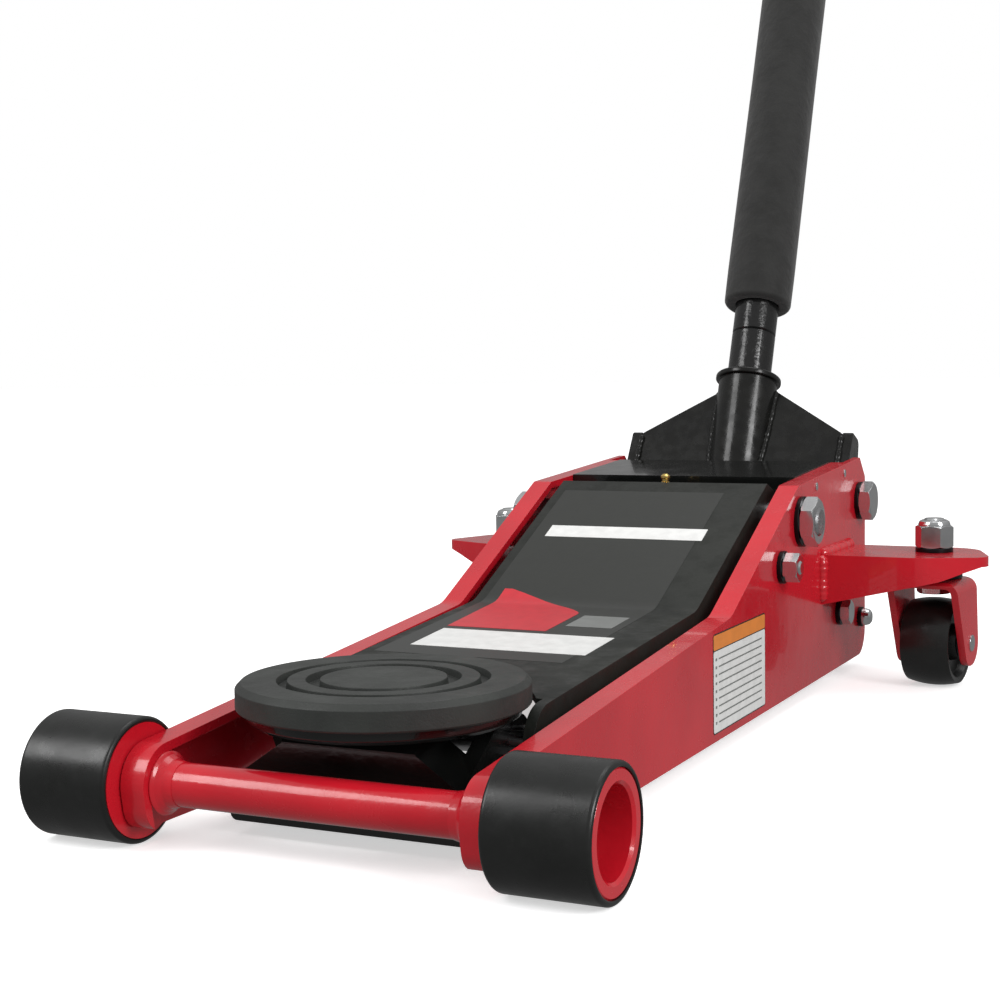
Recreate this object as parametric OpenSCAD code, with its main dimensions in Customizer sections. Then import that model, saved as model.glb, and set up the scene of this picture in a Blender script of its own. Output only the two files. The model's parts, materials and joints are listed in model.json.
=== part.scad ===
// Low-profile hydraulic floor jack: wheeled frame, lift arm with swivel saddle, hydraulic
// power unit and a pump handle in a pivoting yoke.
// Axes: +X is the right-hand side seen from the saddle end, -Y is the saddle end, +Z is up.
// Stations along Y are counted from the front axle, and row() centres the finished jack on Y.

/* [Frame] */
// Width over the outer faces of the two side plates
frame_width = 200; // [196:1:204]
// Thickness of the side plates
plate_thickness = 5; // [4:0.5:5]
// Width of the flange folded inwards round the nose and top of each side plate
flange_width = 14; // [12:1:15]
// Clearance under the side plates
plate_clearance = 9.2; // [8:0.1:11]
// Rear end of the side plates, from the front axle
plate_end = 650; // [648:1:654]

/* [Wheels] */
// Radius of the front wheels and height of their axle
wheel_radius = 31.8; // [30:0.1:33]
// Width of a front wheel
wheel_width = 53; // [50:1:56]
// Radius of the bar that joins the side plates at the front axle
axle_bar_radius = 11; // [10.5:0.5:12]
// Radius of a caster wheel
caster_radius = 32; // [30:0.5:33]
// Width of a caster wheel
caster_width = 35; // [33:1:36]
// Distance of each caster swivel from the middle of the jack
caster_x = 170; // [168:1:174]
// Station of the caster swivels
caster_y = 572; // [568:1:576]
// Distance that the caster wheels trail their swivels
caster_trail = 5.5; // [3:0.5:8]

/* [Lift] */
// Station of the main pivot
pivot_y = 470.7; // [468:0.1:473]
// Height of the main pivot
pivot_z = 126.6; // [125:0.1:128]
// Width of the lift arm
arm_width = 154; // [150:1:156]
// Wall thickness of the lift arm's sides
arm_side = 6; // [5:0.5:7]
// Thickness of the lift arm's top plate
arm_top = 4; // [3:0.5:5]
// Station of the pin that carries the saddle carrier
carrier_y = 100; // [99:0.5:101]
// Height of that pin with the arm down
carrier_z = 45; // [44:0.5:46]

/* [Saddle] */
// Height of the saddle pad's top with the arm down
saddle_height = 79.4; // [79:0.1:81]
// Diameter of the rubber saddle pad
saddle_diameter = 150; // [140:1:152]
// Station of the saddle's centre
saddle_y = 66.5; // [66:0.5:67.5]
// Thickness of the rubber pad
pad_thickness = 13.8; // [12:0.2:15]

/* [Yoke and handle] */
// Station of the yoke pivot
yoke_y = 630; // [628:1:632]
// Height of the yoke pivot
yoke_z = 129.5; // [128:0.5:131]
// Tilt of the handle back from upright at rest
handle_tilt = 22; // [18:1:26]
// Distance from the yoke pivot to the end of the handle
handle_length = 1080; // [900:10:1200]
// Outside diameter of the handle tube
handle_diameter = 35; // [34:0.5:36]
// Outside diameter of the foam sleeve
foam_diameter = 55; // [50:1:60]
// Length of the foam sleeve
foam_length = 420; // [300:10:450]

/* [Hydraulics] */
// Outside diameter of the oil reservoir
reservoir_diameter = 70; // [66:1:70]
// Outside diameter of the ram cylinder
cylinder_diameter = 44; // [42:1:46]
// Diameter of the ram's piston rod
ram_diameter = 26; // [22:1:28]

/* [Hidden] */
$fn = 96;
clear = 0.05;        // radial clearance of a running fit
gap = 0.3;           // gap between faces that move past each other

// Frame
plate_out = frame_width / 2;
plate_in = plate_out - plate_thickness;
flange_in = plate_out - flange_width;
flange_end = 600;
nose_front = -22.8;
knee = [318, 80.5];
crest = [466, 151.7];
tail = [633.7, 162.6];
top_slope = (tail.y - crest.y) / (tail.x - crest.x);
// Side plate outline, anticlockwise: [station, height, corner radius]
plate_outline = [
    [-16, plate_clearance, 14], [plate_end, plate_clearance, 20], [plate_end, 147, 3],
    [tail.x, tail.y, 3], [crest.x, crest.y, 8], [knee.x, knee.y, 28], [nose_front, 50.3, 20]
];
cover_start = 505;
cover_end = 600;
cover_half = flange_in - 0.4;
cover_lip = 12;
cover_sheet = 2.5;
cover_inside = cover_start + cover_sheet;
cover_screw_stations = [cover_start + 5.5, cover_end - 12.5];
// Depth of the flange behind each edge; a negative depth leaves that edge without a flange
plate_flange = [-20, -20, -20, plate_thickness, plate_thickness, plate_thickness, plate_thickness];

// Front axle and wheels
stub_radius = 10;
wheel_inner = plate_out + 1;
wheel_outer = wheel_inner + wheel_width;
hub_radius = wheel_radius - 2.9;
recess_radius = 21.4;
recess_depth = 30;
recess_floor = wheel_outer - recess_depth;
stub_end = recess_floor + 7;

// Casters
bracket_top = 98;
bracket_thickness = 7;
bracket_front = 524;
bracket_back = 604;
bracket_reach = 215;
stem_radius = 8;
washer = 3;
fork_top = 79.2;
fork_plate = 5;
fork_width = 51.5;
fork_leg = 5;
fork_bend = 9;
fork_turn = -6;        // rest angle of the swivels
caster_axle_radius = 6;

// Lift arm and its linkage
arm_out = arm_width / 2;
arm_in = arm_out - arm_side;
arm_end_radius = 21;
arm_crest = [468, 152.5];
arm_knee = [320, 83];
arm_plate_start = 104;
saddle_cut = 77;
// Side of the arm, anticlockwise
arm_outline = [
    [carrier_y - arm_end_radius, carrier_z - arm_end_radius, arm_end_radius - 0.1],
    [335, 36, 60], [447, 97, 40], [497, 97, 20], [497, 142, 14],
    [arm_crest.x, arm_crest.y, 0], [arm_knee.x, arm_knee.y, 28],
    [carrier_y - arm_end_radius, carrier_z + arm_end_radius - 1.5, arm_end_radius - 1]
];
arm_sheet = [-40, -40, -40, -40, -40, arm_top, arm_top, -40];
shaft_radius = 12.5;
hub_tube_radius = 18;
carrier_pin_radius = 8;
link_offset = [-47, -26.6];
anchor_y = pivot_y + link_offset.x;
anchor_z = pivot_z + link_offset.y;
link_pin_y = carrier_y + link_offset.x;
link_pin_z = carrier_z + link_offset.y;
link_pin_radius = 6;
link_pin_play = 0.3;
link_eye_radius = 9;
link_inner = arm_out + 1.3;
link_thickness = 5;
link_outer = link_inner + link_thickness + gap;

// Ram
lift_range = 65;
ram_drop = 58;
ram_z = pivot_z - ram_drop;
ram_per_radian = 62.6;
ram_pin_y = pivot_y + ram_per_radian * lift_range / 2 * PI / 180;
ram_pin_radius = 7;
crank_in = 14;
crank_out = 24;
crank_slot_half = ram_pin_radius + 1.8;
crank_slot_far = ram_drop / cos(lift_range / 2);
reservoir_front = 534;
block_front = 590;
block_back = 646;
block_half = 52;
block_top = 82;
valve_top = 96;
valve_half = 24;
stem_foot = 92;
filler = [40, 606];
mount_a = [570, 51];
mount_b = [632, 39];
spring_x = 62;
spring_radius = 5.5;
spring_anchor_y = 600;

// Pump
pump_x = -38;
pump_z = 97.6;
yoke_range = 45;
roller_arm = 34.5;
roller_y = yoke_y + roller_arm * sin(yoke_range / 2);
roller_z = yoke_z - roller_arm * cos(yoke_range / 2);
roller_radius = 8;
roller_width = 14;
plunger_radius = 6;
plunger_end = roller_y - roller_radius - gap;
pump_face = 580;
collar_y = 621;

// Saddle
pad_radius = saddle_diameter / 2;
pad_bottom = saddle_height - pad_thickness;
saddle_stem_radius = 13;
carrier_top = 57;

// Yoke and handle, along the handle axis from the yoke pivot
ear_out = plate_in - 3;
ear_in = ear_out - 8.5;
ear_bolt_radius = 9;
ear_top = 54;
gusset_lean = 11;
gusset_pivot = 92;
gusset_front = 2;
gusset_thickness = 8;
socket_bottom = 14;
socket_top = 103;
socket_radius = 23.5;
collar_radius = 26.3;
handle_radius = handle_diameter / 2;
tube_wall = 3;
tube_bore = handle_radius - tube_wall;
tube_joint = 140;
foam_start = 165;
grip_length = 180;
grip_radius = 21;
grip_chamfer = 3;
ball_radius = 7;

// The jack's ends along Y, and the shift that centres it
front_reach = -wheel_radius;
rear_reach = yoke_y + (handle_length - grip_chamfer) * sin(handle_tilt) + grip_radius * cos(handle_tilt);
middle_y = (front_reach + rear_reach) / 2;

// ---- Outlines ----

function unit(v) = v / norm(v);

// Points of one outline corner p between its neighbours a and b, rounded to radius r
function corner(p, a, b, r) =
    let(
        u = unit(a - p),
        w = unit(b - p),
        half = acos(u * w) / 2,
        start_point = p + u * r / tan(half),
        end_point = p + w * r / tan(half),
        centre = p + unit(u + w) * r / sin(half),
        start = atan2(start_point.y - centre.y, start_point.x - centre.x),
        finish = atan2(end_point.y - centre.y, end_point.x - centre.x),
        sweep = (finish - start + 540) % 360 - 180,
        steps = ceil(abs(sweep) / 9)
    )
    [for (k = [0:steps]) let(t = start + sweep * k / steps) centre + r * [cos(t), sin(t)]];

function place(v) = [v.x, v.y];

// Rounded form of an outline of [x, y, corner radius] entries
function rounded(outline) =
    let(n = len(outline))
    [for (i = [0:n - 1])
        let(p = place(outline[i]), r = outline[i].z)
        each (r <= 0 ? [p] : corner(p, place(outline[(i + n - 1) % n]), place(outline[(i + 1) % n]), r))];

// Outline moved inwards from edge i by depths[i]; concave corners grow and convex ones shrink
function inset(outline, depths) =
    let(n = len(outline))
    [for (i = [0:n - 1])
        let(
            p = place(outline[i]),
            before = (i + n - 1) % n,
            u = unit(p - place(outline[before])),
            w = unit(place(outline[(i + 1) % n]) - p),
            shift_u = depths[before] * [-u.y, u.x],
            shift_w = depths[i] * [-w.y, w.x],
            turn = cross(u, w),
            moved = p + shift_u + u * cross(shift_w - shift_u, w) / turn,
            depth = max(depths[before], depths[i]),
            r = outline[i].z - sign(turn) * depth
        )
        [moved.x, moved.y, max(depth < 0 ? 0 : r, 0)]];

// Two discs, the second d along +x, with the web between their common tangents
module strap(r1, r2, d) {
    c = (r1 - r2) / d;
    s = sqrt(1 - c * c);
    circle(r1);
    translate([d, 0]) circle(r2);
    polygon([[r1 * c, -r1 * s], [d + r2 * c, -r2 * s], [d + r2 * c, r2 * s], [r1 * c, r1 * s]]);
}

// ---- Placing ----

module row() {
    translate([0, -middle_y, 0]) children();
}

// side is 1 for the right-hand side and -1 for the left
module on_side(side) {
    if (side > 0) children();
    else mirror([1, 0, 0]) children();
}

module both_sides() {
    children();
    mirror([1, 0, 0]) children();
}

// Extrudes a [station, height] outline across X
module across(x0, x1) {
    translate([x0, 0, 0]) rotate([90, 0, 90]) linear_extrude(height = x1 - x0) children();
}

module x_rod(r, x0, x1, y, z) {
    translate([x0, y, z]) rotate([0, 90, 0]) cylinder(r = r, h = x1 - x0);
}

module y_rod(r, y0, y1, x, z) {
    translate([x, y0, z]) rotate([-90, 0, 0]) cylinder(r = r, h = y1 - y0);
}

module z_rod(r, z0, z1, x, y) {
    translate([x, y, z0]) cylinder(r = r, h = z1 - z0);
}

// Solid of revolution about X from [radius, x] points
module x_turned(y, z, points) {
    translate([0, y, z]) rotate([0, 90, 0]) rotate_extrude() polygon(points);
}

// Local frame of a caster: origin under the swivel, +Y in the trailing direction
module at_swivel(side) {
    on_side(side) translate([caster_x, caster_y, 0]) rotate([0, 0, fork_turn]) children();
}

// Local frame of the handle: origin on the yoke pivot, +Z up along the handle
module handle_frame() {
    translate([0, yoke_y, yoke_z]) rotate([-handle_tilt, 0, 0]) children();
}

// Hexagon with chamfered ends, along +Z
module hexagon(flats, height) {
    r = flats / sqrt(3);
    c = r - flats / 2;
    intersection() {
        cylinder(r = r, h = height, $fn = 6);
        rotate_extrude()
            polygon([[0, 0], [r - c, 0], [r, c * 0.6], [r, height - c * 0.6], [r - c, height], [0, height]]);
    }
}

// Hexagon along +X, standing on the plane x = x0
module x_hexagon(flats, height, x0, y, z) {
    translate([x0, y, z]) rotate([0, 90, 0]) hexagon(flats, height);
}

// Threaded end with a chamfered tip, along +X
module x_stud(r, x0, x1, y, z) {
    x_turned(y, z, [[0, x0], [r, x0], [r, x1 - 1.5], [r - 1.5, x1], [0, x1]]);
}

module x_washer(r_out, r_in, x0, thickness, y, z) {
    difference() {
        x_rod(r_out, x0, x0 + thickness, y, z);
        x_rod(r_in, x0 - 1, x0 + thickness + 1, y, z);
    }
}

// ---- Frame ----

module side_plate(side) {
    color("firebrick") row() on_side(side) difference() {
        union() {
            across(plate_in, plate_out) polygon(rounded(plate_outline));
            across(flange_in, plate_in) intersection() {
                difference() {
                    polygon(rounded(plate_outline));
                    polygon(rounded(inset(plate_outline, plate_flange)));
                }
                translate([-50, plate_clearance]) square([flange_end + 50, 200]);
            }
        }
        x_rod(stub_radius + clear, flange_in - 1, plate_out + 1, 0, wheel_radius);
        x_rod(10 + clear, plate_in - 1, plate_out + 1, pivot_y, pivot_z);
        x_rod(5 + clear, plate_in - 1, plate_out + 1, anchor_y, anchor_z);
        x_rod(ear_bolt_radius + clear, plate_in - 1, plate_out + 1, yoke_y, yoke_z);
        x_rod(6 + clear, plate_in - 1, plate_out + 1, mount_a.x, mount_a.y);
        x_rod(5 + clear, plate_in - 1, plate_out + 1, mount_b.x, mount_b.y);
        for (y = cover_screw_stations) x_rod(3, flange_in - 1, plate_out + 1, y, cover_screw_z(y));
    }
}

module side_plate_left() { side_plate(-1); }

module side_plate_right() { side_plate(1); }

// Cross bar between the nose flanges, with a stub through each plate for the wheel
module front_axle() {
    color("firebrick") row() {
        x_rod(axle_bar_radius, -flange_in, flange_in, 0, wheel_radius);
        both_sides() x_turned(0, wheel_radius, [
            [0, flange_in], [stub_radius, flange_in], [stub_radius, stub_end - 4],
            [stub_radius - 1.5, stub_end - 4], [stub_radius - 1.5, stub_end - 2.4],
            [stub_radius, stub_end - 2.4], [stub_radius, stub_end - 1],
            [stub_radius - 1, stub_end], [0, stub_end]
        ]);
    }
}

// Thrust washer and circlip that hold each front wheel on its stub
module axle_retainers() {
    color("silver") row() both_sides() {
        x_washer(18, stub_radius + clear, recess_floor + gap, 2, 0, wheel_radius);
        difference() {
            x_washer(13, stub_radius - 1.4, stub_end - 3.9, 1.4, 0, wheel_radius);
            translate([stub_end - 5, -2.5, wheel_radius + 2]) cube([4, 5, 20]);
        }
    }
}

// Welded outrigger: a top plate with a deep flange folded down at its front
module caster_bracket(side) {
    // Front view of the flange: deep at the side plate, running out at the tip
    flange = [[plate_out, 62, 0], [bracket_reach - 68, 73, 0], [bracket_reach - 32, 81, 30],
        [bracket_reach - 17, 87, 8], [bracket_reach - 6, bracket_top - bracket_thickness, 0],
        [plate_out, bracket_top - bracket_thickness, 0]];
    color("firebrick") row() on_side(side) difference() {
        union() {
            translate([0, 0, bracket_top - bracket_thickness]) linear_extrude(height = bracket_thickness)
                polygon(rounded([
                    [plate_out, bracket_front, 0], [bracket_reach - 45, bracket_front, 30],
                    [bracket_reach, bracket_front + 20, 12], [bracket_reach - 20, bracket_back, 24],
                    [plate_out, bracket_back, 0]
                ]));
            intersection() {
                translate([0, bracket_front + 30, 0]) rotate([90, 0, 0])
                    linear_extrude(height = 30) polygon(rounded(flange));
                linear_extrude(height = bracket_top - bracket_thickness)
                    polygon(rounded([
                        [plate_out, bracket_front, 0], [bracket_reach - 45, bracket_front, 30],
                        [bracket_reach, bracket_front + 20, 0], [bracket_reach, bracket_front + 26, 0],
                        [bracket_reach - 46, bracket_front + 6, 24], [plate_out, bracket_front + 6, 0]
                    ]));
            }
        }
        z_rod(stem_radius + clear, bracket_top - bracket_thickness - 1, bracket_top + 1, caster_x, caster_y);
    }
}

module caster_bracket_left() { caster_bracket(-1); }

module caster_bracket_right() { caster_bracket(1); }

// Swivel bolts: the head carries the fork from below
module caster_stems() {
    tip = bracket_top + 24.4;
    color("silver") row() both_sides() translate([caster_x, caster_y, 0]) {
        translate([0, 0, fork_top - fork_plate - gap - 6]) hexagon(22, 6);
        z_rod(stem_radius, fork_top - fork_plate - gap - 0.01, tip - 1.5, 0, 0);
        translate([0, 0, tip - 1.5]) cylinder(r1 = stem_radius, r2 = stem_radius - 1.5, h = 1.5);
    }
}

// Self-locking nut over the washer on top of each bracket
module caster_nuts() {
    foot = bracket_top + washer;
    color("gainsboro") row() both_sides() translate([caster_x, caster_y, foot]) difference() {
        union() {
            hexagon(24, 16);
            rotate_extrude() polygon([
                [0, 15], [11.4, 15], [11.4, 17.2], [10.6, 19.2], [8.8, 20.2], [0, 20.2]
            ]);
        }
        translate([0, 0, -1]) cylinder(r = stem_radius + clear, h = 40);
    }
}

module swivel_bearings() {
    color("dimgray") row() both_sides() difference() {
        z_rod(20, fork_top + gap, bracket_top - bracket_thickness, caster_x, caster_y);
        z_rod(stem_radius + clear, fork_top, bracket_top, caster_x, caster_y);
    }
}

// Height of the side plates' rear top edge at station y
function top_edge(y) = crest.y + top_slope * (y - crest.x);

function cover_screw_z(y) = top_edge(y) - 6.5;

// Folded sheet between the flanges, level with their top edges and turned down at the front
module top_cover() {
    color("black") row() difference() {
        across(-cover_half, cover_half) polygon([
            [cover_start, top_edge(cover_start) - cover_lip], [cover_end, top_edge(cover_end) - cover_lip],
            [cover_end, top_edge(cover_end) + 0.6], [cover_start, top_edge(cover_start) + 0.6]
        ]);
        across(-cover_half + cover_sheet, cover_half - cover_sheet) polygon([
            [cover_inside, top_edge(cover_start) - 2 * cover_lip],
            [cover_end + 1, top_edge(cover_end) - 2 * cover_lip],
            [cover_end + 1, top_edge(cover_end) - cover_sheet],
            [cover_inside, top_edge(cover_inside) - cover_sheet]
        ]);
        for (y = cover_screw_stations) x_rod(2.5, -plate_out, plate_out, y, cover_screw_z(y));
    }
}

module cover_screws() {
    color("silver") row() both_sides() for (y = cover_screw_stations) {
        x_rod(2.45, cover_half - cover_sheet - 2, plate_out - 1, y, cover_screw_z(y));
        x_rod(2.9, plate_out - 1, plate_out + 0.6, y, cover_screw_z(y));
    }
}

// ---- Pivot pins and bolts in the frame ----

module main_pivot_shaft() {
    color("silver") row() {
        x_rod(shaft_radius, -plate_in + clear, plate_in - clear, pivot_y, pivot_z);
        both_sides() x_stud(10, plate_in - clear, plate_out + washer + 11.5, pivot_y, pivot_z);
    }
}

module main_pivot_nuts() {
    color("gainsboro") row() both_sides() difference() {
        x_hexagon(30, 10, plate_out + washer, pivot_y, pivot_z);
        x_rod(10 + clear, plate_out, plate_out + 30, pivot_y, pivot_z);
    }
}

// Shouldered bolts that the link arms turn on, with their nuts outside
module link_anchor_bolts() {
    color("gainsboro") row() both_sides() {
        x_rod(link_pin_radius, link_inner - 0.4, link_inner + link_thickness + 0.4, anchor_y, anchor_z);
        x_rod(link_eye_radius, link_inner + link_thickness + 0.4, plate_in, anchor_y, anchor_z);
        x_rod(5, plate_in, plate_out + washer, anchor_y, anchor_z);
        x_hexagon(17, 10, plate_out + washer, anchor_y, anchor_z);
        x_stud(5, plate_out + washer, plate_out + washer + 11.2, anchor_y, anchor_z);
    }
}

module yoke_pivot_bolts() {
    color("gainsboro") row() both_sides() {
        x_rod(ear_bolt_radius, ear_in + gap, plate_out + washer, yoke_y, yoke_z);
        x_hexagon(26, 9, plate_out + washer, yoke_y, yoke_z);
    }
}

// Black washers under every nut and bolt head on the outside of the frame
module bolt_washers() {
    color("black") row() both_sides() {
        x_washer(17.4, 10 + clear, plate_out, washer, pivot_y, pivot_z);
        x_washer(14.5, ear_bolt_radius + clear, plate_out, washer, yoke_y, yoke_z);
        x_washer(11, 5 + clear, plate_out, washer, anchor_y, anchor_z);
        x_washer(9.8, 6 + clear, plate_out, washer, mount_a.x, mount_a.y);
        x_washer(7.6, 5 + clear, plate_out, washer, mount_b.x, mount_b.y);
        difference() {
            z_rod(13.4, bracket_top, bracket_top + washer, caster_x, caster_y);
            z_rod(stem_radius + clear, bracket_top - 1, bracket_top + washer + 1, caster_x, caster_y);
        }
    }
}

// Bolts that hold the power unit between the plates: hexagon heads in front, domed ones behind
module mounting_bolts() {
    head = plate_out + washer;
    color("gainsboro") row() both_sides() {
        x_rod(6, plate_in - 24, head, mount_a.x, mount_a.y);
        x_hexagon(16, 7, head, mount_a.x, mount_a.y);
        x_rod(5, plate_in - 24, head, mount_b.x, mount_b.y);
        x_turned(mount_b.x, mount_b.y,
            [[0, head], [6.6, head], [6.6, head + 2.6], [5.8, head + 5.2], [4, head + 6.6], [0, head + 7]]);
    }
}

// ---- Power unit ----

// Casting round the ram cylinder that holds the oil, with a mounting lug on each side
module reservoir() {
    r = reservoir_diameter / 2;
    color("dimgray") row() difference() {
        union() {
            y_rod(r, reservoir_front, block_front, 0, ram_z);
            both_sides() x_rod(11, r - 8, plate_in - clear, mount_a.x, mount_a.y);
            translate([pump_x - 14, pump_face - 20, mount_a.y]) cube([14, 20, 13]);
        }
        y_rod(r - 4, reservoir_front + 12, block_front + 1, 0, ram_z);
        y_rod(cylinder_diameter / 2, reservoir_front - 1, block_front + 1, 0, ram_z);
        both_sides() x_rod(6 + clear, plate_in - 25, plate_in + 1, mount_a.x, mount_a.y);
    }
}

module ram_cylinder() {
    r = cylinder_diameter / 2;
    color("slategray") row() difference() {
        y_rod(r - clear, reservoir_front, block_back - 8, 0, ram_z);
        y_rod(r - 4, reservoir_front - 1, block_back - 13, 0, ram_z);
    }
}

// Threaded gland that guides the ram rod and closes the cylinder
module ram_gland() {
    color("black") row() difference() {
        union() {
            y_rod(cylinder_diameter / 2 + 4, reservoir_front - 6, reservoir_front, 0, ram_z);
            y_rod(cylinder_diameter / 2 - 4 - clear, reservoir_front - 0.01, reservoir_front + 8, 0, ram_z);
        }
        y_rod(ram_diameter / 2 + clear, reservoir_front - 7, reservoir_front + 9, 0, ram_z);
    }
}

// Valve block at the rear: holds the cylinder's end, the release valve and the filler
module valve_block() {
    color("dimgray") row() difference() {
        union() {
            across(-block_half, block_half) polygon(rounded([
                [block_front, 20, 6], [block_back, 20, 10],
                [block_back, block_top, 6], [block_front, block_top, 0]
            ]));
            across(-valve_half, valve_half) polygon(rounded([
                [block_front, block_top - 12, 0], [block_back, block_top - 12, 0],
                [block_back, valve_top, 6], [block_front, valve_top, 6]
            ]));
            z_rod(17, valve_top - 1, yoke_z - 26, 0, yoke_y);
            both_sides() x_rod(11, block_half, plate_in - clear, mount_b.x, mount_b.y);
            both_sides() x_rod(4, block_half, spring_x + 8, spring_anchor_y, ram_z);
        }
        y_rod(cylinder_diameter / 2, block_front - 1, block_back - 8 + clear, 0, ram_z);
        z_rod(6 + clear, stem_foot - gap, yoke_z, 0, yoke_y);
        z_rod(6 + clear, block_top - 10, block_top + 1, filler.x, filler.y);
        both_sides() x_rod(5 + clear, plate_in - 25, plate_in + 1, mount_b.x, mount_b.y);
    }
}

// Pump barrel beside the reservoir, on a foot that stands on the reservoir's lug
module pump_body() {
    color("slategray") row() difference() {
        union() {
            y_rod(11, pump_face - 40, pump_face, pump_x, pump_z);
            translate([pump_x - 12, pump_face - 20, mount_a.y + 13]) cube([12, 20, pump_z - mount_a.y - 18]);
        }
        y_rod(plunger_radius + clear, pump_face - 37, pump_face + 1, pump_x, pump_z);
    }
}

module filler_plug() {
    color("gold") row() translate([filler.x, filler.y, 0]) {
        z_rod(6, block_top - 8, block_top, 0, 0);
        translate([0, 0, block_top]) hexagon(14, 6);
    }
}

// Envelope of the two tension springs that pull the ram back in
module return_springs() {
    color("gray") row() both_sides() difference() {
        y_rod(spring_radius, ram_pin_y + ram_pin_radius + 1, spring_anchor_y - 5, spring_x, ram_z);
        y_rod(spring_radius - 2, ram_pin_y, spring_anchor_y, spring_x, ram_z);
    }
}

// Envelope of the spring that pushes the pump plunger out
module pump_spring() {
    color("gray") row() difference() {
        y_rod(plunger_radius + 3, pump_face + 0.2, collar_y - 0.2, pump_x, pump_z);
        y_rod(plunger_radius + 1, pump_face, collar_y, pump_x, pump_z);
    }
}

// ---- Lift arm ----

// Pressed channel: two sides joined by a top plate that is cut back round the saddle
module lift_arm() {
    color("black") row() difference() {
        union() {
            both_sides() across(arm_in, arm_out) polygon(rounded(arm_outline));
            difference() {
                across(-arm_in, arm_in) intersection() {
                    difference() {
                        polygon(rounded(arm_outline));
                        polygon(rounded(inset(arm_outline, arm_sheet)));
                    }
                    translate([arm_plate_start, 0]) square([arm_crest.x - arm_plate_start, 200]);
                }
                z_rod(saddle_cut, 0, 200, 0, saddle_y);
            }
        }
        x_rod(shaft_radius + clear, -arm_out - 1, arm_out + 1, pivot_y, pivot_z);
        x_rod(carrier_pin_radius + clear, -arm_out - 1, arm_out + 1, carrier_y, carrier_z);
    }
}

// Tube that the arm turns on, between its sides
module pivot_hub() {
    color("black") row() difference() {
        x_rod(hub_tube_radius, -arm_in, arm_in, pivot_y, pivot_z);
        x_rod(shaft_radius + clear, -arm_in - 1, arm_in + 1, pivot_y, pivot_z);
        z_rod(3, pivot_z, pivot_z + 30, 0, pivot_y + 3);
    }
}

// Pair of ears welded to the hub, slotted for the ram's crosshead pin
module ram_crank() {
    color("dimgray") row() both_sides()
        translate([crank_in, pivot_y, pivot_z]) rotate([lift_range / 2, 0, 0]) rotate([90, 0, 90])
            linear_extrude(height = crank_out - crank_in) difference() {
                rotate(-90) strap(hub_tube_radius + 2.2, 18, crank_slot_far);
                circle(hub_tube_radius);
                translate([0, -ram_drop]) circle(crank_slot_half);
                translate([0, -crank_slot_far]) circle(crank_slot_half);
                translate([-crank_slot_half, -crank_slot_far])
                    square([2 * crank_slot_half, crank_slot_far - ram_drop]);
            }
}

module carrier_pin() {
    color("silver") row() x_rod(carrier_pin_radius, -arm_out - 0.3, arm_out + 0.3, carrier_y, carrier_z);
}

module grease_nipple() {
    foot = pivot_z + hub_tube_radius - 2;
    color("gold") row() translate([0, pivot_y + 3, foot]) rotate_extrude() polygon([
        [0, -2], [2.9, -2], [2.9, 5], [4, 5], [4, 9], [2.6, 10],
        [2.6, 11.6], [3.4, 12.6], [3.4, 14], [1.8, 15.5], [0, 15.5]
    ]);
}

// ---- Saddle carrier and its parallel link ----

// Casting that stays level: a full-width front bar, a boss for the saddle and two cheeks
module saddle_carrier() {
    front = saddle_y - 37.5;
    back = link_pin_y + 12;
    cheek_top = carrier_z + 12.5;
    block_rise = carrier_top - 0.5;
    color("black") row() difference() {
        union() {
            intersection() {
                translate([0, back, 0]) rotate([90, 0, 0]) linear_extrude(height = back - front)
                    polygon(rounded([
                        [-70, 8, 4], [70, 8, 4], [68, 30, 6], [57, 37, 5], [38, 50, 0], [38, block_rise, 0],
                        [-38, block_rise, 0], [-38, 50, 0], [-57, 37, 5], [-68, 30, 6]
                    ]));
                across(-71, 71) polygon([
                    [front, 8], [back, 8], [back, block_rise], [front + 5, block_rise], [front, 50.5]
                ]);
            }
            z_rod(24, 8, carrier_top, 0, saddle_y);
            both_sides() across(48, 57) polygon(rounded([
                [link_pin_y - 8, 8, 3], [carrier_y + 18, 8, 17], [carrier_y + 18, cheek_top, 13],
                [carrier_y - 18, cheek_top, 13], [link_pin_y - 8, 34, 3]
            ]));
        }
        z_rod(saddle_stem_radius + clear, 0, carrier_top + 1, 0, saddle_y);
        x_rod(carrier_pin_radius + clear, -arm_in, arm_in, carrier_y, carrier_z);
        both_sides() x_rod(link_pin_radius, 50, arm_out, link_pin_y, link_pin_z);
    }
}

// Pins at the ends of the carrier that the link arms hold
module carrier_link_pins() {
    color("silver") row() both_sides() {
        x_rod(link_pin_radius, 50, link_outer, link_pin_y, link_pin_z);
        x_rod(link_pin_radius + 1.5, link_outer, flange_in - 0.6, link_pin_y, link_pin_z);
    }
}

// Flat bars, cranked to pass under the side plates' knees
module link_arms() {
    half = 6;
    low = [link_pin_y, link_pin_z];
    bend = [knee.x + 14, knee.y - 27];
    high = [anchor_y, anchor_z];
    along_low = unit(bend - low);
    along_high = unit(high - bend);
    up_low = [-along_low.y, along_low.x] * half;
    up_high = [-along_high.y, along_high.x] * half;
    shift = up_high - up_low;
    mitre = up_low + along_low * cross(shift, along_high) / cross(along_low, along_high);
    color("darkslategray") row() both_sides() across(link_inner, link_outer - gap) difference() {
        union() {
            translate(low) circle(link_eye_radius);
            translate(high) circle(link_eye_radius);
            polygon([
                low - up_low, bend - mitre, high - up_high, high + up_high, bend + mitre, low + up_low
            ]);
        }
        translate(low) circle(link_pin_radius + link_pin_play);
        translate(high) circle(link_pin_radius + clear);
    }
}

// ---- Saddle ----

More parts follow.
